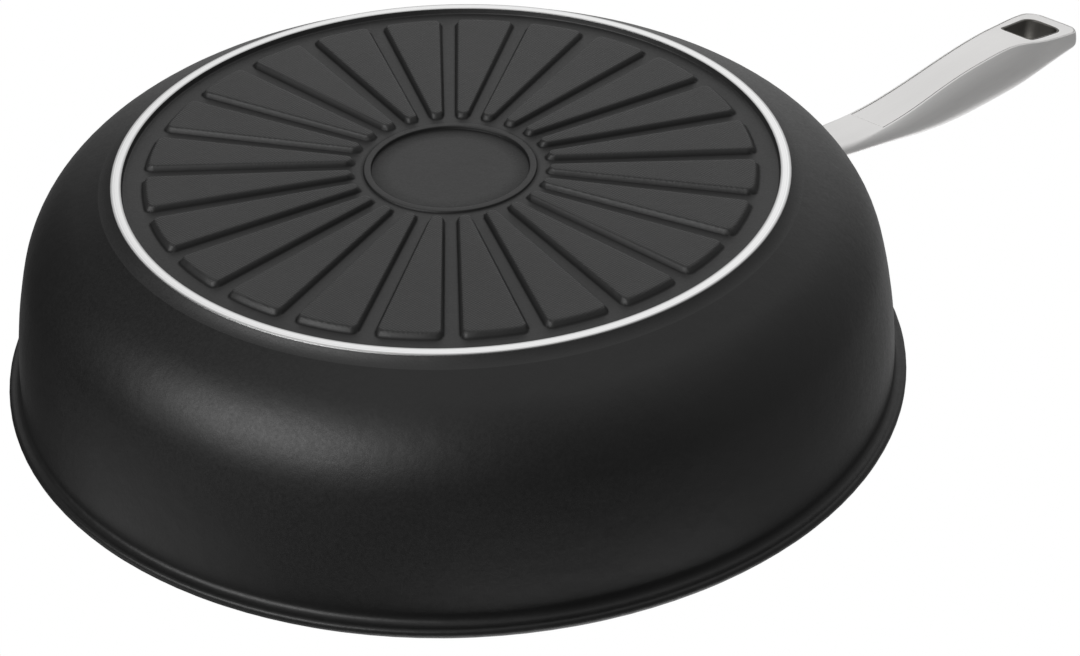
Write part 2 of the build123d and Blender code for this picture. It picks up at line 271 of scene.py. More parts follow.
@dataclass(frozen=True)
class Worked:
    """Bare metal with fine scratches along X: brushed, drawn, satined or headed.

    The scratches' length, width and depth and the size of the sheen's soft patches, along
    and across, are in millimetres.
    """

    finished: Finished
    dark: str
    light: str
    roughness: tuple[float, float]
    length: float
    width: float
    depth: float
    patches: tuple[float, float] = (83.0, 11.0)

    def build(self) -> bpy.types.Material:
        """Makes the metal's material."""
        material, place = new_material(self.finished)
        tree = material.node_tree
        along, across = per_metre(self.length), per_metre(self.width)
        drawn = add(tree, "Mapping", Vector=place, Scale=(along, across, across))
        scratches = add(tree, "TexNoise", Vector=drawn, Scale=1.0, Detail=4.0, Roughness=0.7)
        along, across = (per_metre(size) for size in self.patches)
        drawn = add(tree, "Mapping", Vector=place, Scale=(along, across, across))
        sheen = add(tree, "TexNoise", Vector=drawn, Scale=1.0, Detail=2.0)
        pale = add(tree, "MapRange", i0=sheen, i1=0.25, i2=0.75, i3=0.0, i4=0.3)
        share = add(tree, "Math", {"operation": "MULTIPLY_ADD"}, i0=scratches, i1=0.7, i2=pale)
        colour = add(tree, "Mix", MIX_COLOUR, out=2, i0=share, i6=linear(self.dark),
                     i7=linear(self.light))
        gloss = add(tree, "MapRange", i0=scratches, i1=0.25, i2=0.75, i3=self.roughness[0],
                    i4=self.roughness[1])
        bent = add(tree, "Bump", Height=scratches, Distance=self.depth * MILLIMETRE)
        shader = add(tree, "BsdfPrincipled", Base_Color=colour, Metallic=1.0, Roughness=gloss,
                     Normal=bent)
        add(tree, "OutputMaterial", Surface=shader)
        return material


FINISHES = (
    # PTFE-based coating, sprayed on the wall and baked: soot black, a broad soft highlight
    # with the faint unevenness of orange peel. PTFE alone has an IOR of 1.35, its binder
    # more. The spray's grain is nearer 0.2 mm, drawn at 1.1 mm so that it shows at all.
    Coat(Finished.OUTER_COAT, "0c0c0c", "181818", 1.41, (0.40, 0.50), grain=1.1,
         grain_depth=0.04, peel=6.2, peel_depth=0.12),
    # The same coating over the base's cast relief: drier, a shade greyer, with rows of pressed
    # dots on the pads about 1.2 mm apart, and dark, matt painted shade along the pads' feet and
    # lip.
    # The casting's grain of 0.3 mm is drawn at 0.67 mm.
    Coat(Finished.RELIEF_COAT, "141414", "262626", 1.44, (0.44, 0.56), grain=0.67,
         grain_depth=0.05, peel=3.3, peel_depth=0.06, stipple=1.2, stipple_depth=0.035),
    # Cast aluminium, bare where the lathe cut through the coating: near white, with rings
    # round the axis, and a darker grey towards both edges. The feed
    # of about 0.15 mm is drawn at 0.38 mm.
    TurnedMetal(Finished.TURNED_RING, "dfdfdf", "f9f9f9", "9a9a9a", (0.30, 0.42), feed=0.38,
                depth=0.02, middle=RING_RADIUS - RING_WIDTH / 2, half=RING_WIDTH / 2),
    # Non-stick coating inside: dark graphite and smoother than outside, so the food's side
    # has a clearer sheen. The grain of 0.2 mm is drawn at 0.77 mm.
    Coat(Finished.RELEASE_COAT, "17181a", "26272a", 1.45, (0.34, 0.46), grain=0.77,
         grain_depth=0.03, peel=4.5, peel_depth=0.06),
    # Stainless steel plate, brushed along the handle: pale, long hair lines, soft sheen.
    # The belt's 180 grit scratches of about 0.08 mm are drawn at 0.22 mm.
    Worked(Finished.PLATE_STEEL, "dedddc", "f5f4f3", (0.48, 0.60), length=30.0, width=0.22,
           depth=0.012),
    # Pressed stainless steel shell, brushed in the same way, so that the plate and the neck
    # look like one piece and only the seam parts them.
    Worked(Finished.SHELL_STEEL, "dedddc", "f5f4f3", (0.48, 0.60), length=30.0, width=0.22,
           depth=0.012),
    # Stainless steel sleeve, dull as it was drawn and left; its dark colour is painted shade
    # for the depth of the eye. The die's lines of 0.1 mm are drawn at 0.4 mm.
    Worked(Finished.SLEEVE_STEEL_PAINTED_SHADE, "585653", "74726e", (0.46, 0.58), length=4.0, width=0.4,
           depth=0.01),
    # Stainless steel bracket with a satin finish: mid grey and short scratches.
    Worked(Finished.BRACKET_STEEL, "a9a9a6", "c6c5c2", (0.36, 0.46), length=12.0, width=0.26,
           depth=0.012),
    # Aluminium rivets, headed cold: a smooth satin dome with hardly any grain.
    Worked(Finished.RIVET_METAL, "b8b8b6", "d8d8d6", (0.32, 0.42), length=2.0, width=0.5,
           depth=0.01),
)


# Shapes worked out as arrays

def arc(centre: tuple[float, float], radius: float, start: float, end: float,
        count: int) -> np.ndarray:
    """Points of a circle: centre + radius * (cos, sin) of evenly spaced angles in degrees."""
    turn = np.radians(np.linspace(start, end, count))
    return np.stack([centre[0] + radius * np.cos(turn), centre[1] + radius * np.sin(turn)], -1)


def rounded_path(points: list[tuple[float, float]], radii: list[float], steps: int = 5,
                 closed: bool = False) -> np.ndarray:
    """A path of straight runs with rounded corners.

    At each corner the curve leaves and meets the runs at radius * tan(half the turn) from the
    corner, and between those two points it is the quadratic curve whose middle control point
    is the corner, which for the small corners here is as good as the arc.

    Args:
        points: the corners in order.
        radii: one radius for each point. An end point's radius isn't used on an open path.
        steps: points on each rounded corner.
        closed: whether the path goes back to its first point.

    Returns:
        The points of the path, as an array of two columns.
    """
    corner = np.asarray(points, float)
    before, after = np.roll(corner, 1, 0) - corner, np.roll(corner, -1, 0) - corner
    before /= np.linalg.norm(before, axis=1, keepdims=True)
    after /= np.linalg.norm(after, axis=1, keepdims=True)
    between = np.arccos(np.clip((before * after).sum(1), -1, 1))
    cut = (np.asarray(radii) / np.tan(np.maximum(between, 0.05) / 2))[:, None]
    start, end = corner + before * cut, corner + after * cut
    t = np.linspace(0, 1, steps)[None, :, None]
    curve = ((1 - t) ** 2 * start[:, None] + 2 * t * (1 - t) * corner[:, None]
             + t ** 2 * end[:, None])
    if closed:
        return curve.reshape(-1, 2)
    return np.concatenate([corner[:1], curve[1:-1].reshape(-1, 2), corner[-1:]])


def natural_spline(knots: np.ndarray, values: np.ndarray, at: np.ndarray) -> np.ndarray:
    """The natural cubic spline through a table.

    The second derivatives m solve the usual three-term equations, with zero at both ends.
    Between two knots the value is the cubic with those second derivatives at its ends.

    Args:
        knots: rising positions.
        values: one value, or one row of values, for each knot.
        at: positions to work out.

    Returns:
        The values at those positions.
    """
    values = np.asarray(values, float).reshape(len(knots), -1)
    step = np.diff(knots)
    count = len(knots)
    terms = np.eye(count)
    inner = np.arange(1, count - 1)
    terms[inner, inner - 1] = step[:-1]
    terms[inner, inner] = 2 * (step[:-1] + step[1:])
    terms[inner, inner + 1] = step[1:]
    slope = np.diff(values, axis=0) / step[:, None]
    right = np.zeros_like(values)
    right[1:-1] = 6 * np.diff(slope, axis=0)
    m = np.linalg.solve(terms, right)
    i = np.clip(np.searchsorted(knots, at) - 1, 0, count - 2)
    h, low, high = step[i, None], (at - knots[i])[:, None], (knots[i + 1] - at)[:, None]
    return (m[i] * high ** 3 + m[i + 1] * low ** 3) / (6 * h) + (
        values[i] / h - m[i] * h / 6) * high + (values[i + 1] / h - m[i + 1] * h / 6) * low


def placed(name: str, data: bpy.types.ID) -> bpy.types.Object:
    """An object of that name and data, linked to the scene."""
    linked = bpy.data.objects.new(name, data)
    bpy.context.scene.collection.objects.link(linked)
    return linked


def skin(name: str, rows: np.ndarray, ends: str = "poles", kinds: np.ndarray | None = None,
         shade: np.ndarray | None = None) -> bpy.types.Object:
    """A closed mesh from a grid of points in millimetres.

    Each row is a closed loop, so the last column joins the first. The first row and the last
    row shrink to one point each, or join each other.

    Args:
        name: the piece's name.
        rows: points, as rows x columns x 3.
        ends: "poles" where the end rows are single points, "ring" where they join.
        kinds: a material index for each band between two rows.
        shade: the painted shade of each point, kept as the attribute "recess".

    Returns:
        The object, linked to the scene, with its place in its mesh.
    """
    count, across = rows.shape[:2]
    column = np.arange(across)
    ahead = (column + 1) % across
    if ends == "poles":
        points = np.concatenate([rows[0, :1], rows[1:-1].reshape(-1, 3), rows[-1, :1]])
        body = count - 2
        first = 1 + np.arange(body - 1)[:, None] * across
    else:
        points = rows.reshape(-1, 3)
        body = count
        first = np.arange(body)[:, None] * across
    second = first + across if ends == "poles" else (first + across) % len(points)
    quads = np.stack([first + column, first + ahead, second + ahead, second + column], -1)
    faces = quads.reshape(-1, 4).tolist()
    band = np.repeat(np.arange(len(first)) + (ends == "poles"), across)
    if ends == "poles":
        top = 1 + (body - 1) * across
        fans = [np.stack([np.zeros(across, int), 1 + ahead, 1 + column], -1),
                np.stack([top + column, top + ahead, np.full(across, len(points) - 1)], -1)]
        faces += fans[0].tolist() + fans[1].tolist()
        band = np.concatenate([band, np.zeros(across, int), np.full(across, count - 2)])
    mesh = bpy.data.meshes.new(name)
    mesh.from_pydata((points * MILLIMETRE).tolist(), [], faces)
    if kinds is not None:
        mesh.polygons.foreach_set("material_index", kinds[band].astype(np.int32))
    if shade is not None:
        kept = np.concatenate([shade[0, :1], shade[1:-1].ravel(), shade[-1, :1]])
        recess = mesh.attributes.new("recess", "FLOAT", "POINT")
        recess.data.foreach_set("value", kept.astype(np.float32))
    mesh.polygons.foreach_set("use_smooth", np.ones(len(faces), bool))
    mesh.update()
    return placed(name, mesh)


def pierced(piece: bpy.types.Object, cutter: bpy.types.Object,
            crease: float = 35.0) -> bpy.types.Object:
    """Cuts a closed mesh out of a piece and keeps the piece's own mesh data as the result.

    Args:
        piece: the piece to cut.
        cutter: the closed mesh to take away.
        crease: edges sharper than this many degrees stay sharp.

    Returns:
        The piece.
    """
    cut = piece.modifiers.new("eye", "BOOLEAN")
    cut.object, cut.operation, cut.solver = cutter, "DIFFERENCE", "EXACT"
    graph = bpy.context.evaluated_depsgraph_get()
    whole = piece.data
    piece.data = bpy.data.meshes.new_from_object(piece.evaluated_get(graph))
    piece.modifiers.clear()
    piece.data.name = whole.name
    bpy.data.meshes.remove(whole)
    piece.data.set_sharp_from_angle(angle=np.radians(crease))
    return piece


# The pan

@dataclass
class PanBody:
    """The casting: medallion, radial pads, turned ring, wall, rim, lid seat and inside.

    Leans are in degrees. The gaps are between two pads at their inner and outer ends. The
    painted shade along the pads' feet and the lip has a strength each and fades over foot_shade.
    The mesh's columns lie columns_on_face inside the face's edge, columns_at_edge past it and
    columns_at_foot past the foot, and draw together where a face is narrower than full_face.
    """

    height: float = RIM_HEIGHT
    rim_radius: float = RIM_RADIUS
    flange_height: float = 3.0
    flange_step: float = 3.9
    rim_root_rounding: float = 2.45
    rim_rounding: float = 1.4
    rim_lean: float = 0.785
    wall_radius: float = 165.0
    shoulder_radius: float = 35.3
    shoulder_lean: float = 14.5
    wall: float = 3.4
    floor: float = 6.0
    floor_corner: float = 31.5
    seat_radius: float = 140.2
    seat_depth: float = 1.6
    seat_edge_rounding: float = 0.6
    seat_root_rounding: float = 0.5
    ring_radius: float = RING_RADIUS
    ring_width: float = RING_WIDTH
    ring_draft: float = 0.3
    ring_roundings: tuple[float, float, float] = (0.5, 0.22, 0.18)
    ring_land: float = 0.3
    land_draft: float = 0.05
    relief: float = 1.9
    pad_count: int = 24
    pad_inner: float = 31.2
    pad_outer: float = 94.2
    foot_gaps: tuple[float, float] = (3.7, 4.6)
    face_gaps: tuple[float, float] = (4.9, 6.4)
    end_draft: float = 1.3
    inner_corner: float = 1.5
    outer_corner: float = 1.9
    edge_softness: float = 0.22
    # Painted shade along the pads' feet and the lip: its width and its two strengths.
    foot_shade: float = 0.34
    painted_foot_shade: float = 0.65
    painted_lip_shade: float = 0.6
    medallion_radius: float = 24.7
    medallion_depth: float = 0.5
    lip_width: float = 2.1
    lip_height: float = 0.6
    lip_drafts: tuple[float, float] = (0.2, 0.25)
    lip_roundings: tuple[float, float] = (0.3, 0.35)
    columns_on_face: tuple[float, ...] = (1.5, 0.85, 0.45, 0.18)
    columns_at_edge: tuple[float, ...] = (-0.02, 0.22)
    columns_at_foot: tuple[float, ...] = (-0.15, 0.1, 0.4, 0.8)
    full_face: float = 2.3
    finishes: tuple[Finished, ...] = (Finished.OUTER_COAT, Finished.RELIEF_COAT,
                                      Finished.RELEASE_COAT, Finished.TURNED_RING)

    def underside(self) -> tuple[np.ndarray, int]:
        """The section from the axis to the ring's outer edge, without the pads.

        Returns:
            Radius and height of each point, and how many points come before the ring.
        """
        steps = 4
        lip_top = self.relief - self.lip_height
        lip_out = self.medallion_radius + self.lip_width
        ring_in = self.ring_radius - self.ring_width
        disc_level = self.relief + self.medallion_depth
        foot, top = self.lip_roundings
        middle = rounded_path(
            [(0, disc_level), (self.medallion_radius - self.lip_drafts[0], disc_level),
             (self.medallion_radius, lip_top), (lip_out, lip_top),
             (lip_out + self.lip_drafts[1], self.relief), (lip_out + 1.4, self.relief)],
            [0, foot, top, top, foot, 0], steps)
        disc_radii = np.linspace(0, self.medallion_radius - 1.2, 6)[:-1]
        disc = np.stack([disc_radii, np.full(len(disc_radii), disc_level)], -1)
        radii = np.concatenate([
            np.linspace(self.pad_inner - 2.5, self.pad_inner + 2.4, 15),
            np.linspace(self.pad_inner + 4.2, self.pad_outer - 4.4, 8),
            np.linspace(self.pad_outer - 2.8, self.pad_outer + 2.2, 15)])
        band = np.stack([radii, np.full(len(radii), self.relief)], -1)
        ring = rounded_path(
            [(self.pad_outer + 4.5, self.relief), (ring_in - self.ring_draft, self.relief),
             (ring_in, 0), (self.ring_radius, 0),
             (self.ring_radius + self.land_draft, self.ring_land)],
            [0, *self.ring_roundings, 0], steps)
        before = np.concatenate([disc, middle[1:], band])
        return np.concatenate([before, ring]), len(before) + steps + 2

    def wall_arcs(self) -> tuple[tuple[float, float], tuple[float, float], float]:
        """The centres of the wall's and the shoulder's curves, and the foot's angle.

        The wall's curve ends at the flange, leaning by rim_lean. The shoulder's curve shares
        its tangent where both lean by shoulder_lean, and the foot is the straight line from
        the ring's edge that touches the shoulder's curve.
        """
        lean = np.radians([self.rim_lean, self.shoulder_lean])
        top = (self.rim_radius - self.flange_step, self.height - self.flange_height)
        centre = (top[0] - self.wall_radius * np.cos(lean[0]),
                  top[1] + self.wall_radius * np.sin(lean[0]))
        apart = self.wall_radius - self.shoulder_radius
        shoulder = (centre[0] + apart * np.cos(lean[1]), centre[1] - apart * np.sin(lean[1]))
        run = np.array([self.ring_radius, self.ring_land]) - shoulder
        foot = np.arctan2(run[1], run[0]) + np.arccos(self.shoulder_radius / np.hypot(*run))
        return centre, shoulder, float(np.degrees(foot))

    def side(self) -> tuple[np.ndarray, int]:
        """The section from the ring's edge up the wall, over the rim and down to the axis.

        The outside ends with the third rounded corner of the flange, at the rim's top. The
        wall's rows keep about a degree clear of the flange's root and of the seat.

        Returns:
            Radius and height of each point, and how many points come before the inside.
        """
        centre, shoulder, foot = self.wall_arcs()
        steps, clear_of_root, clear_of_seat, first_inside = 6, 1.1, 0.6, 1.2
        under_flange = self.height - self.flange_height
        seat = self.height - self.seat_depth
        turned = arc(shoulder, self.shoulder_radius, foot, -self.shoulder_lean, 15)
        wall = arc(centre, self.wall_radius, -self.shoulder_lean,
                   -self.rim_lean - clear_of_root, 10)[1:]
        land = (self.ring_radius + self.land_draft, self.ring_land)
        foot_run = np.linspace(land, turned[0], 4)[1:-1]
        inner = self.wall_radius - self.wall
        corner_level = self.floor + self.floor_corner
        drop = centre[1] - corner_level
        apart = np.sqrt((inner - self.floor_corner) ** 2 - drop ** 2)
        corner = (centre[0] + apart, corner_level)
        lean_low = np.degrees(np.arcsin(drop / (inner - self.floor_corner)))
        lean_high = np.degrees(np.arcsin((centre[1] - seat) / inner))
        head = (centre[0] + inner * np.cos(np.radians(lean_high)), seat)
        flange = rounded_path(
            [wall[-1], (self.rim_radius - self.flange_step, under_flange),
             (self.rim_radius, under_flange), (self.rim_radius, self.height),
             (self.seat_radius, self.height), (self.seat_radius, seat), head,
             arc(centre, inner, -lean_high - clear_of_seat, 0, 2)[0]],
            [0, self.rim_root_rounding, self.rim_rounding, self.rim_rounding,
             self.seat_edge_rounding, self.seat_root_rounding, self.seat_root_rounding, 0],
            steps)[1:]
        inside = arc(centre, inner, -lean_high - first_inside, -lean_low, 9)
        fillet = arc(corner, self.floor_corner, -lean_low, -90, 12)[1:]
        floor = np.stack([np.linspace(corner[0], 0, 7)[1:], np.full(6, self.floor)], -1)
        before = np.concatenate([foot_run, turned, wall, flange])
        to_inside = len(before) - len(flange) + 3 * steps
        return np.concatenate([before, inside, fillet, floor]), to_inside

    def gaps(self, r: np.ndarray) -> tuple[np.ndarray, np.ndarray, np.ndarray]:
        """The gaps between two pads, which widen evenly from their inner to their outer ends.

        Args:
            r: radii.

        Returns:
            The share of the pad's length at each radius, the gap between the faces and the
            gap between the feet.
        """
        share = np.clip((r - self.pad_inner) / (self.pad_outer - self.pad_inner), 0, 1)
        face, foot = (narrow + share * (broad - narrow)
                      for narrow, broad in (self.face_gaps, self.foot_gaps))
        return share, face, foot

    def columns(self, radius: np.ndarray) -> np.ndarray:
        """Angles of the grid's columns at each radius, in radians.

        Across half a pad the columns follow the pad's side: the face's edge lies half the
        face's gap from the channel's middle line, and the foot half the foot's gap, which at
        a radius is an angle of asin(gap / 2 / radius). Columns gather at both.

        Args:
            radius: the radius of each row.

        Returns:
            Angles, as rows x columns, once round.
        """
        half = np.pi / self.pad_count
        r = np.maximum(radius, self.pad_inner - self.end_draft)
        _, gap, foot = self.gaps(r)
        face = (half - np.arcsin(gap / 2 / r)) * r
        slope = (gap - foot) / 2
        near = np.minimum(1, face / self.full_face)
        inwards = [face * 0, face * 0.45] + [face - d * near for d in self.columns_on_face]
        inwards[1] = np.minimum(inwards[1], inwards[2] * 0.6)
        outwards = [face + d for d in self.columns_at_edge]
        outwards += [face + slope + d for d in self.columns_at_foot]
        right = np.stack(inwards + outwards, -1) / r[:, None]
        end = np.full((len(r), 1), half)
        sector = np.concatenate([right, end, 2 * half - right[:, :0:-1]], 1)
        turns = 2 * half * np.arange(self.pad_count)
        return (sector[:, None, :] + turns[None, :, None]).reshape(len(r), -1)

    def pad_rise(self, radius: np.ndarray, angle: np.ndarray) -> tuple[np.ndarray, np.ndarray]:
        """How far the pads stand out at each point.

        The distance from the pad's face outline is the least of the distances to its side,
        to its inner end and to its outer end, with round corners where two of them are small.
        The rise is a ramp of that distance from the foot to the face, softened at both ends
        by s(d) = (d + sqrt(d * d + e * e)) / 2.

        Args:
            radius: radius of each point.
            angle: angle of each point, measured from a pad's middle line.

        Returns:
            The rise in millimetres, and how near the point is to a pad's foot line, from 0
            to 1, as exp(-(d / w) ** 2) of its distance d.
        """
        half = np.pi / self.pad_count
        r = np.maximum(radius, 1.0)
        share, gap, foot = self.gaps(r)
        off = np.abs((angle + half) % (2 * half) - half)
        side = r * np.sin(half - off) - gap / 2
        end = np.minimum(r - self.pad_inner, self.pad_outer - r)
        corner = np.where(share < 0.5, self.inner_corner, self.outer_corner)
        short = np.hypot(np.maximum(corner - side, 0), np.maximum(corner - end, 0))
        inside = np.where((side < corner) & (end < corner), corner - short,
                          np.minimum(side, end))
        steep = np.clip((side - end) / 2 + 0.5, 0, 1)
        width = (gap - foot) / 2 * (1 - steep) + self.end_draft * steep

        def soft(d: np.ndarray) -> np.ndarray:
            """The softened positive part of a distance."""
            return (d + np.sqrt(d * d + self.edge_softness ** 2)) / 2

        rise = self.relief * (soft(inside + width) - soft(inside)) / width
        return rise, np.exp(-((inside + width) / self.foot_shade) ** 2)

    def build(self) -> bpy.types.Object:
        """Carries the section round the axis, with the pads' rise taken off its height.

        The pads' rise counts from 1.2 mm outside the lip to 4 mm outside the pads.

        Returns:
            The casting, with a material index for each of the finishes in their order.
        """
        under, to_ring = self.underside()
        side, to_inside = self.side()
        section = np.concatenate([under, side])
        radius = section[:, 0]
        angle = self.columns(radius)
        wide = radius[:, None] + 0 * angle
        level = section[:, 1:2] + 0 * angle
        below = np.arange(len(section))[:, None] < len(under)
        pads = below & (wide > self.medallion_radius + self.lip_width + 1.2) & (
            wide < self.pad_outer + 4.0)
        rise, foot = self.pad_rise(wide, angle)
        level = np.where(pads, level - rise, level)
        # Painted shade: dark lines along the lip and the pads' feet, kept as the attribute
        # "recess".
        lip = (self.medallion_radius - 0.3, self.medallion_radius + self.lip_width + 0.35)
        crease = np.minimum(abs(radius - lip[0]), abs(radius - lip[1]))
        line = self.painted_lip_shade * np.exp(-(crease / self.foot_shade) ** 2)[:, None]
        painted_foot_shade = np.where(pads, self.painted_foot_shade * foot, 0.0)
        shade = np.where(below, np.maximum(painted_foot_shade, line), 0.0)
        offset = np.pi / self.pad_count
        rows = np.stack([wide * np.cos(angle + offset), wide * np.sin(angle + offset), level], -1)
        outer, relief, release, ring = range(len(self.finishes))
        kinds = np.full(len(section), release)
        kinds[:len(under) + to_inside] = outer
        kinds[:len(under)] = relief
        kinds[to_ring:len(under) - 1] = ring
        piece = skin("pan_casting", rows, "poles", kinds, shade)
        LOG.info("pan_casting: %d rows, %d columns", *rows.shape[:2])
        return piece


# The handle

@dataclass
class Handle:
    """The hollow handle: upper shell, lower plate and the sleeve of the hanging eye.

    Shares are of the length out from the rim. The strip's corner has its first radius up to
    the first place of corner_change, and its second from the second place on. The lip is the
    flat between that corner and the plate's recess. The plate has play at its root end, at
    its tip end and above. The crown's allowance keeps the mesh inside the solid's box.
    """

    rim_radius: float = RIM_RADIUS
    rim_height: float = RIM_HEIGHT
    length: float = 192.9
    root_share: float = 0.030
    plate_share: float = 0.370
    neck_drop: float = 12.4
    neck_width: float = 19.6
    neck_depth: float = 5.6
    neck_bevel: float = 2.4
    waist_strip: float = 14.2
    grip_rise: float = 5.2
    grip_width: float = 23.6
    grip_depth: float = 21.2
    paddle_width: float = 25.6
    paddle_depth: float = 7.8
    paddle_rise: float = 14.0
    paddle_corner: float = 6.5
    paddle_bevel: float = 1.4
    nose_round: float = 4.0
    crown_allowance: float = 0.01
    strip_corner: tuple[float, float] = (1.6, 0.35)
    corner_change: tuple[float, float] = (190.0, 215.0)
    sheet: float = 1.5
    plate_inset: float = 0.5
    plate_rounding: float = 0.25
    plate_play: tuple[float, float, float] = (0.04, 0.02, 0.06)
    lip: float = 0.15
    seam: float = 0.24
    eye_length: float = 19.8
    eye_root_width: float = 13.2
    eye_end_width: float = 15.0
    eye_margin: float = 7.7
    eye_root_corner: float = 1.8
    eye_end_corner: float = 4.8
    sleeve_wall: float = 1.0
    sleeve_play: float = 0.03
    cut_heights: tuple[float, float] = (60.0, 120.0)

    def stations(self) -> np.ndarray:
        """The table of sections.

        Returns:
            A row for each section: its share of the handle's length out from the rim, the
            underside's rise above the rim, the strip's width, the widest width, the depth,
            and the widest place's height as a share of the depth.
        """
        neck_strip = self.neck_width - self.neck_bevel
        paddle_strip = self.paddle_width - self.paddle_bevel
        climb = self.neck_drop + self.grip_rise
        rise, deep, waist = self.grip_rise, self.grip_depth, self.waist_strip
        return np.array([
            (self.root_share, -self.neck_drop, neck_strip, self.neck_width,
             self.neck_depth, 0.50),
            (0.110, 0.40 * climb - self.neck_drop, neck_strip, self.neck_width,
             self.neck_depth, 0.50),
            (0.195, 0.77 * climb - self.neck_drop, neck_strip, self.neck_width,
             self.neck_depth, 0.50),
            (0.280, rise - 0.3, neck_strip - 0.6, self.neck_width + 0.4,
             self.neck_depth + 0.4, 0.50),
            (self.plate_share, rise + 1.7, neck_strip - 1.4, self.grip_width - 2.8,
             0.37 * deep, 0.55),
            (0.470, rise + 1.9, waist + 0.8, self.grip_width - 1.6, 0.59 * deep, 0.60),
            (0.600, rise + 0.4, waist, self.grip_width - 0.6, 0.89 * deep, 0.60),
            (0.730, rise, waist + 1.2, self.grip_width, deep, 0.60),
            (0.805, rise + 1.1, waist + 3.0, self.grip_width - 0.2, 0.97 * deep, 0.60),
            (0.868, 0.57 * rise + 0.43 * self.paddle_rise, paddle_strip - 2.8,
             self.paddle_width - 1.8, (deep + self.paddle_depth) / 2 + 2.1, 0.58),
            (0.935, 0.31 * rise + 0.69 * self.paddle_rise, paddle_strip, self.paddle_width,
             self.paddle_depth + 3.9, 0.54),
            (1.010, self.paddle_rise, paddle_strip, self.paddle_width, self.paddle_depth, 0.46),
        ])

    @property
    def tip(self) -> float:
        """Distance of the tip from the pan's axis."""
        return self.rim_radius + self.length

    @property
    def plate_start(self) -> float:
        """Distance of the plate's root end from the pan's axis."""
        return self.rim_radius + self.plate_share * self.length

    def sizes(self, out: np.ndarray) -> np.ndarray:
        """The sections' sizes at distances out, from splines through the stations.

        At the tip the widths shrink along the plan's corner arcs, on both sides by
        c - sqrt(c * c - d * d), where d is how far the place is into the corner's radius c.
        The depth shrinks in the same way along the nose's radius, and by the allowance.

        Args:
            out: distances from the pan's axis.

        Returns:
            Columns: underside height, strip width, widest width, depth, widest place.
        """
        table = self.stations()
        knots = self.rim_radius + table[:, 0] * self.length
        values = natural_spline(knots, table[:, 1:], out)
        into = np.clip(out - (self.tip - self.paddle_corner), 0, self.paddle_corner)
        loss = self.paddle_corner - np.sqrt(np.maximum(self.paddle_corner ** 2 - into ** 2, 0))
        values[:, 0] += self.rim_height
        values[:, 1:3] -= 2 * loss[:, None]
        nose = np.clip(out - (self.tip - self.nose_round), 0, self.nose_round)
        values[:, 4] *= values[:, 3]
        values[:, 3] -= self.nose_round - np.sqrt(self.nose_round ** 2 - nose ** 2)
        values[:, 3] -= self.crown_allowance
        return values

    def crown(self, out: np.ndarray, across: np.ndarray) -> np.ndarray:
        """Height of the crown: the widest place plus the ellipse over the width."""
        under, _, width, depth, belly = self.sizes(out.ravel()).T.reshape(5, *out.shape)
        inside = np.maximum(1 - (2 * across / width) ** 2, 0)
        return under + belly + (depth - belly) * np.sqrt(inside)

    def places(self, start: float, end: float, extra: list[float]) -> np.ndarray:
        """Distances of the rows: even along the handle, and closer round the tip's corners."""
        corner_start = self.tip - self.paddle_corner
        turn = np.radians(np.linspace(0, 90, 15))
        tip_rows = corner_start + self.paddle_corner * np.sin(turn)
        even = np.linspace(start, corner_start, 120)
        rows = np.concatenate([even, tip_rows, extra, [end]])
        return np.unique(rows[(rows >= start) & (rows <= end)])

    def shell_rows(self) -> np.ndarray:
        """The shell's sections, closed loops of points.

        Each is made of the plate's recess, the lip beside it, a small rounded corner, a flank
        that is an arc tangent to the vertical at the widest place, and half an ellipse. The
        recess has no depth outside the plate's length. The corner's radius eases from one
        value to the other by e * e * (3 - 2 * e), and its curve is the quadratic one whose
        middle control point is the strip's edge.
        """
        step = 0.02
        start, stop = self.plate_start, self.tip - self.plate_inset
        out = self.places(self.rim_radius + self.root_share * self.length, self.tip,
                          [start, start + step, stop - step, stop, self.tip - 0.05])
        under, strip, width, depth, belly = (c[:, None] for c in self.sizes(out).T)
        inside = ((out > start + step / 2) & (out < stop - step / 2))[:, None]
        recess = np.where(inside, self.sheet, 0.0)
        (near, far), (first, last) = self.strip_corner, self.corner_change
        ease = np.clip((out[:, None] - first) / (last - first), 0, 1)
        corner = near - (near - far) * ease * ease * (3 - 2 * ease)
        half, wide = strip / 2, width / 2
        edge = half - np.maximum(self.plate_inset, corner + self.lip)
        bottom_y = np.concatenate([0 * edge, 0.5 * edge, edge - 0.3, edge - 0.03, edge], 1)
        bottom_z = under + recess * np.array([[1.0, 1.0, 1.0, 0.9, 0.2]])
        lip_y = np.concatenate([edge + 0.03, edge + 0.09, half - corner], 1)
        lip_z = under + np.minimum(recess, 1) * np.array([[0.05, 0.0, 0.0]])
        a, b = wide - half, belly
        radius = (a * a + b * b) / (2 * a)
        sweep = np.arcsin(np.clip(b / radius, -1, 1))
        t = np.linspace(0, 1, 7)[None, 1:]
        leave = np.minimum(sweep * 0.85, corner / radius)
        meet_y = wide - radius + radius * np.cos(sweep - leave)
        meet_z = under + belly - radius * np.sin(sweep - leave)
        round_y = (1 - t) ** 2 * (half - corner) + 2 * t * (1 - t) * half + t ** 2 * meet_y
        round_z = (1 - t) ** 2 * under + 2 * t * (1 - t) * under + t ** 2 * meet_z
        flank = (sweep - leave) * np.linspace(1, 0, 11)[None, 1:]
        flank_y = wide - radius + radius * np.cos(flank)
        flank_z = under + belly - radius * np.sin(flank)
        over = np.radians(np.linspace(0, 90, 18))[None, 1:]
        crown_y = wide * np.cos(over)
        crown_z = under + belly + (depth - belly) * np.sin(over)
        y = np.concatenate([bottom_y, lip_y, round_y, flank_y, crown_y], 1)
        z = np.concatenate([bottom_z, lip_z, round_z, flank_z, crown_z], 1)
        y = np.concatenate([y, -y[:, -2:0:-1]], 1)
        z = np.concatenate([z, z[:, -2:0:-1]], 1)
        rows = np.stack([out[:, None] + 0 * y, y, z], -1)
        return self.capped(rows)

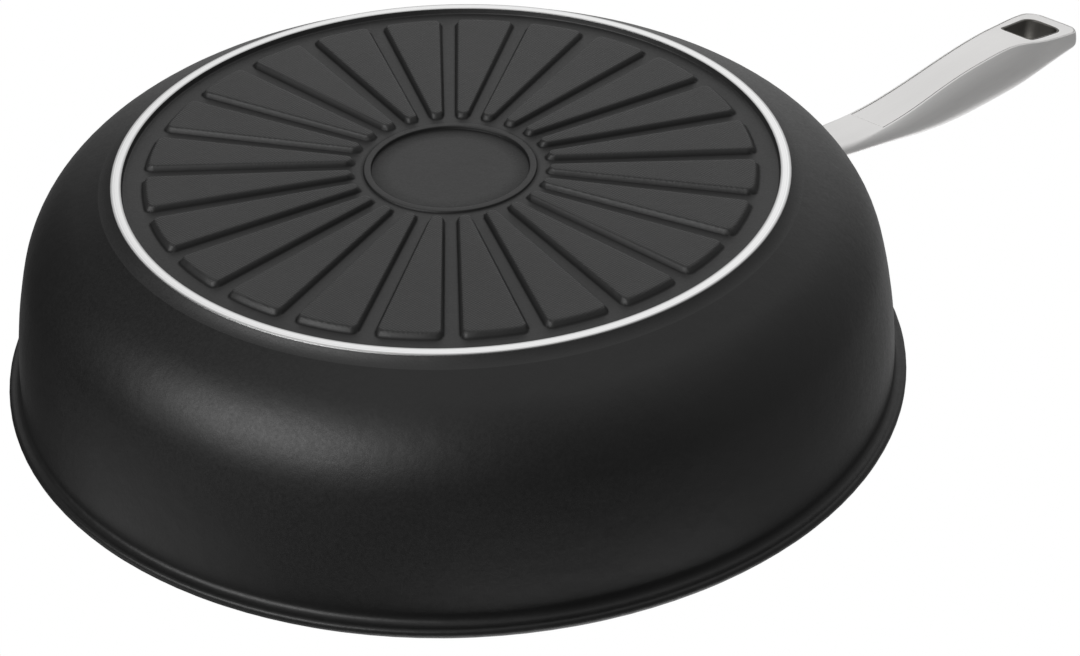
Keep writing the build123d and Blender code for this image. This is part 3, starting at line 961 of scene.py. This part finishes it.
    @staticmethod
    def capped(rows: np.ndarray) -> np.ndarray:
        """Adds to each end of a loft two rows further in and a single point, the row's mean."""
        middle = rows.mean(1, keepdims=True)
        ends = []
        for index in (0, -1):
            pole = middle[index] + 0 * rows[index]
            ends.append([pole, (rows[index] + 3 * pole) / 4, (3 * rows[index] + pole) / 4])
        return np.concatenate([np.stack(ends[0]), rows, np.stack(ends[1][::-1])])

    def plate_rows(self) -> np.ndarray:
        """The lower plate's sections: a flat bar with its lower edges rounded.

        The ends' lift is r - sqrt(r * r - (r - d) ** 2) at a distance d from the end, for the
        rounding's radius r, and d counts five times at the root end.
        """
        root_play, tip_play, top_play = self.plate_play
        rounding = self.plate_rounding
        start = self.plate_start + root_play
        end = self.tip - self.plate_inset - self.seam - tip_play
        out = self.places(start, end, [start + 0.02, start + 0.05, end - 0.3, end - 0.1])
        under, strip = (c[:, None] for c in self.sizes(out).T[:2])
        edge = strip / 2 - self.plate_inset - self.seam
        round_end = np.clip(np.minimum(5 * (out - start), end - out), 0, rounding)[:, None]
        lift = rounding - np.sqrt(rounding ** 2 - (rounding - round_end) ** 2)
        y = np.concatenate([0 * edge, 0.55 * edge, np.maximum(
            edge - np.array([[1.0, rounding, 0.07, 0.0, 0.0]]), 0)], 1)
        top = self.sheet - top_play
        z = under + np.maximum(lift, np.array([[0, 0, 0, 0, 0.07, rounding, top]]))
        y = np.concatenate([y, -y[:, :0:-1]], 1)
        z = np.concatenate([z, z[:, :0:-1]], 1)
        rows = np.stack([out[:, None] + 0 * y, y, z], -1)
        return self.capped(rows)

    def eye(self, grow: float, steps: int = 9) -> np.ndarray:
        """The eye's outline in plan, a rounded wedge, grown by a distance all round."""
        end = self.tip - self.eye_margin + grow
        root = self.tip - self.eye_margin - self.eye_length - grow
        half_root = self.eye_root_width / 2 + grow
        half_end = self.eye_end_width / 2 + grow
        corners = [(root, -half_root), (end, -half_end), (end, half_end), (root, half_root)]
        near, far = self.eye_root_corner + grow, self.eye_end_corner + grow
        return rounded_path(corners, [near, far, far, near], steps, closed=True)

    def sleeve_rows(self) -> np.ndarray:
        """The sleeve: the eye's outline carried round a thin wall with rounded mouths.

        Each point of the section has a distance grown from the eye, a distance inwards from a
        mouth, and 0 for the lower mouth, in the strip's plane, or 1 for the upper, in the
        crown.
        """
        section = [(0.0, 0.5, 0), (0.06, 0.2, 0), (0.25, 0.03, 0), (0.5, 0.0, 0),
                   (self.sleeve_wall - 0.12, 0.0, 0), (self.sleeve_wall - 0.02, 0.12, 0),
                   (self.sleeve_wall - 0.02, 0.35, 1), (self.sleeve_wall - 0.12, 0.2, 1),
                   (0.5, 0.12, 1), (0.25, 0.15, 1), (0.06, 0.35, 1), (0.0, 0.6, 1)]
        rows = []
        for grow, off, upper in section:
            plan = self.eye(grow)
            x, y = plan.T
            low = self.sizes(x)[:, 0] + off
            rows.append(np.stack([x, y, self.crown(x, y) - off if upper else low], -1))
        return np.stack(rows)

    def cutter_rows(self) -> np.ndarray:
        """A tall block over the outline of the sleeve's outside."""
        plan = self.eye(self.sleeve_wall + self.sleeve_play)
        rows = [np.column_stack([plan, np.full(len(plan), z)]) for z in self.cut_heights]
        return self.capped(np.stack(rows))

    def build(self) -> dict[str, bpy.types.Object]:
        """Makes the three pieces.

        Returns:
            The pieces by the names of the nodes that they replace.
        """
        cutter = skin("eye_cutter", self.cutter_rows())
        shell = pierced(skin("handle_shell", self.shell_rows()), cutter)
        plate = pierced(skin("handle_plate", self.plate_rows()), cutter)
        bpy.data.objects.remove(cutter)
        sleeve = skin("eye_sleeve", self.sleeve_rows(), "ring")
        return {"handle_upper_shell": shell, "handle_lower_plate": plate,
                "hanging_eye_sleeve": sleeve}


# Stage

@dataclass(frozen=True)
class PhotoCamera:
    """The camera of the photograph, which looks up at the base and has the pan's mouth down.

    Its place is worked out with the pan mouth down: the camera stands off the axis and above
    the rim's plane, looks down by the pitch, and is turned by the roll. Turning the pan
    upright sends the way back to (cos, -sin, 0) of the turn and the way up to -Z. The stand
    off and the rise are in rim radii, the angles in degrees, the focal length and the frame
    in the photograph's pixels, the shift in frame widths, the sensor in millimetres and the
    clip distances in metres.
    """

    rim_radius: float = RIM_RADIUS
    rim_height: float = RIM_HEIGHT
    stand_off: float = 5.273
    rise: float = 3.62
    pitch: float = 34.01
    roll: float = 2.07
    turn: float = 45.75
    focal_pixels: float = 2843.0
    frame_width: int = 1080
    shift: float = 0.0777
    sensor: float = 36.0
    clip: tuple[float, float] = (0.05, 50.0)

    def axes(self) -> tuple[Vector, Vector, Vector]:
        """The photograph's right, back and up, in the row frame."""
        turn = np.radians(self.turn)
        right = Vector((np.sin(turn), np.cos(turn), 0))
        back = Vector((np.cos(turn), -np.sin(turn), 0))
        return right, back, Vector((0, 0, -1))

    def point(self, right: float, back: float, up: float) -> Vector:
        """A place in metres, from the rim's centre in the photograph's directions."""
        axes = self.axes()
        return Vector((0, 0, self.rim_height * MILLIMETRE)) + (
            axes[0] * right + axes[1] * back + axes[2] * up)

    def build(self) -> None:
        """Makes the camera and gives it to the scene."""
        right, back, up = self.axes()
        pitch, roll = np.radians(self.pitch), np.radians(self.roll)
        forward = back * np.cos(pitch) - up * np.sin(pitch)
        level_up = back * np.sin(pitch) + up * np.cos(pitch)
        side = right * np.cos(roll) - level_up * np.sin(roll)
        head = right * np.sin(roll) + level_up * np.cos(roll)
        data = bpy.data.cameras.new("photo_camera")
        data.sensor_width = self.sensor
        data.lens = self.focal_pixels / self.frame_width * self.sensor
        data.shift_x = self.shift
        data.clip_start, data.clip_end = self.clip
        camera = placed("photo_camera", data)
        unit = self.rim_radius * MILLIMETRE
        place = self.point(0.0, -self.stand_off * unit, self.rise * unit)
        columns = (side, head, -forward, place)
        camera.matrix_world = Matrix([[c[i] for c in columns] for i in range(3)]
                                     + [[0, 0, 0, 1]])
        bpy.context.scene.camera = camera


@dataclass(frozen=True)
class Softbox:
    """A rectangular lamp with an even face, in metres and watts, aimed at the pan's axis."""

    name: str
    place: tuple[float, float, float]
    width: float
    tall: float
    power: float
    aim_height: float = 0.035

    def build(self, camera: PhotoCamera) -> None:
        """Places the lamp, turned towards the pan.

        Args:
            camera: gives the photograph's directions, in which the place is written.
        """
        data = bpy.data.lights.new(self.name, "AREA")
        data.shape, data.size, data.size_y, data.energy = (
            "RECTANGLE", self.width, self.tall, self.power)
        place = camera.point(*self.place)
        aim = Vector((0, 0, self.aim_height)) - place
        turned = aim.to_track_quat("-Z", "Y").to_matrix().to_4x4()
        placed(self.name, data).matrix_world = Matrix.Translation(place) @ turned


@dataclass(frozen=True)
class Studio:
    """A pale floor, a white surround and soft lamps.

    A flag has the two places where it is full and where it ends, as the share of a ray's
    direction that points away from the camera or to the right, and the share of the light
    that it lets through. The band is the surround's grey by height, from 0 straight down to
    1 straight up.
    """

    floor_size: float = 6.0
    floor_drop: float = 0.0005
    floor_colour: str = "f6f6f5"
    front_flag: tuple[float, float, float] = (-0.6, 0.05, 0.18)
    left_flag: tuple[float, float, float] = (-0.56, -0.1, 0.06)
    right_flag: tuple[float, float, float] = (0.8, 0.45, 0.42)
    band: tuple[tuple[float, str], ...] = (
        (0.44, "fcfcfc"), (0.50, "e0e0e0"), (0.56, "cccccc"), (0.82, "c4c4c4"), (0.93, "f0f0f0"))
    softboxes: tuple[Softbox, ...] = (
        Softbox("front_left_softbox", (-1.08, -0.88, 0.90), 1.4, 0.85, 25.0),
        Softbox("low_left_softbox", (-1.3, -0.3, -0.85), 1.4, 0.7, 2.3),
        Softbox("over_pan_softbox", (0.35, -0.55, -1.6), 1.8, 1.6, 26.0),
    )

    def build_world(self, camera: PhotoCamera) -> None:
        """White to the camera. To everything else, white below, a grey band, pale above.

        Dark flags stand on the camera's side of the pan, and to its left and right.

        Args:
            camera: gives the photograph's directions.
        """
        world = bpy.data.worlds.new("studio")
        world.use_nodes = True
        bpy.context.scene.world = world
        tree = world.node_tree
        tree.nodes.clear()
        way = add(tree, "TexCoord", out="Generated")
        height = add(tree, "SeparateXYZ", out="Z", Vector=way)
        level = add(tree, "MapRange", i0=height, i1=-1.0, i2=1.0, i3=0.0, i4=1.0)
        ramp = add(tree, "ValToRGB", Fac=level)
        stops = ramp.node.color_ramp.elements
        stops[0].position, stops[0].color = self.band[0][0], linear(self.band[0][1])
        stops[1].position, stops[1].color = self.band[-1][0], linear(self.band[-1][1])
        for position, colour in self.band[1:-1]:
            stops.new(position).color = linear(colour)
        right_way, back_way, _ = camera.axes()
        dot, least = {"operation": "DOT_PRODUCT"}, {"operation": "MINIMUM"}
        facing = add(tree, "VectorMath", dot, out="Value", i0=way, i1=back_way)
        aside = add(tree, "VectorMath", dot, out="Value", i0=way, i1=right_way)
        front, left, right = (
            add(tree, "MapRange", i0=way_off, i1=dark_at, i2=clear_at, i3=share, i4=1.0)
            for way_off, (dark_at, clear_at, share) in (
                (facing, self.front_flag), (aside, self.left_flag), (aside, self.right_flag)))
        flag = add(tree, "Math", least, i0=front,
                   i1=add(tree, "Math", least, i0=left, i1=right))
        grey = add(tree, "CombineColor", Red=flag, Green=flag, Blue=flag)
        shaded = add(tree, "Mix", {**MIX_COLOUR, "blend_type": "MULTIPLY"}, out=2, i0=1.0,
                     i6=ramp, i7=grey)
        light = add(tree, "Background", Color=shaded, Strength=1.0)
        white = add(tree, "Background", Color=linear("ffffff"), Strength=1.0)
        seen = add(tree, "LightPath", out="Is Camera Ray")
        add(tree, "OutputWorld", Surface=add(tree, "MixShader", i0=seen, i1=light, i2=white))

    def build_floor(self) -> None:
        """The floor just under the ring. From below it is clear, and it blocks no lamp."""
        half = self.floor_size / 2
        corners = [(-half, -half), (half, -half), (half, half), (-half, half)]
        mesh = bpy.data.meshes.new("pale_floor")
        mesh.from_pydata([(x, y, -self.floor_drop) for x, y in corners], [], [(0, 1, 2, 3)])
        floor = placed("pale_floor", mesh)
        material = bpy.data.materials.new("pale_floor")
        material.use_nodes = True
        tree = material.node_tree
        tree.nodes.clear()
        surface = add(tree, "BsdfDiffuse", Color=linear(self.floor_colour))
        clear = add(tree, "BsdfTransparent", Color=linear("ffffff"))
        below = add(tree, "NewGeometry", out="Backfacing")
        add(tree, "OutputMaterial", Surface=add(tree, "MixShader", i0=below, i1=surface, i2=clear))
        mesh.materials.append(material)
        floor.visible_shadow = False
        floor.visible_glossy = False
        floor.visible_diffuse = False

    def build(self, camera: PhotoCamera) -> None:
        """Makes the surround, the floor and the lamps."""
        self.build_world(camera)
        self.build_floor()
        for softbox in self.softboxes:
            softbox.build(camera)
        bpy.context.scene.view_settings.view_transform = "Standard"


def dress(piece: bpy.types.Object, *materials: bpy.types.Material) -> None:
    """Gives a piece its materials in place of those it has."""
    indices = np.zeros(len(piece.data.polygons), np.int32)
    piece.data.polygons.foreach_get("material_index", indices)
    piece.data.materials.clear()
    for material in materials:
        piece.data.materials.append(material)
    piece.data.polygons.foreach_set("material_index", np.minimum(indices, len(materials) - 1))


def main() -> None:
    """Builds the pan, its handle and the stage."""
    logging.basicConfig(level=logging.INFO, format="%(name)s %(message)s")
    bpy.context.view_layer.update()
    materials = {finish.finished: finish.build() for finish in FINISHES}
    pan = PanBody()
    casting = pan.build()
    dress(casting, *(materials[finished] for finished in pan.finishes))
    handle = Handle().build()
    dress(handle["handle_upper_shell"], materials[Finished.SHELL_STEEL])
    dress(handle["handle_lower_plate"], materials[Finished.PLATE_STEEL])
    dress(handle["hanging_eye_sleeve"], materials[Finished.SLEEVE_STEEL_PAINTED_SHADE])
    for node, piece in {"pan_body": casting, **handle}.items():
        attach(piece, ROOT)
        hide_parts(node)
        LOG.info("%s replaces %s: %d faces", piece.name, node, len(piece.data.polygons))
    rivets = ("rivet_right", "rivet_left", "rivet_lower")
    own_solids = {"neck_bracket": Finished.BRACKET_STEEL,
                  **dict.fromkeys(rivets, Finished.RIVET_METAL)}
    for node, finished in own_solids.items():
        dress(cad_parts[node], materials[finished])
        LOG.info("%s keeps its solid", node)
    camera = PhotoCamera()
    camera.build()
    Studio().build(camera)


if __name__ == "__main__":
    main()
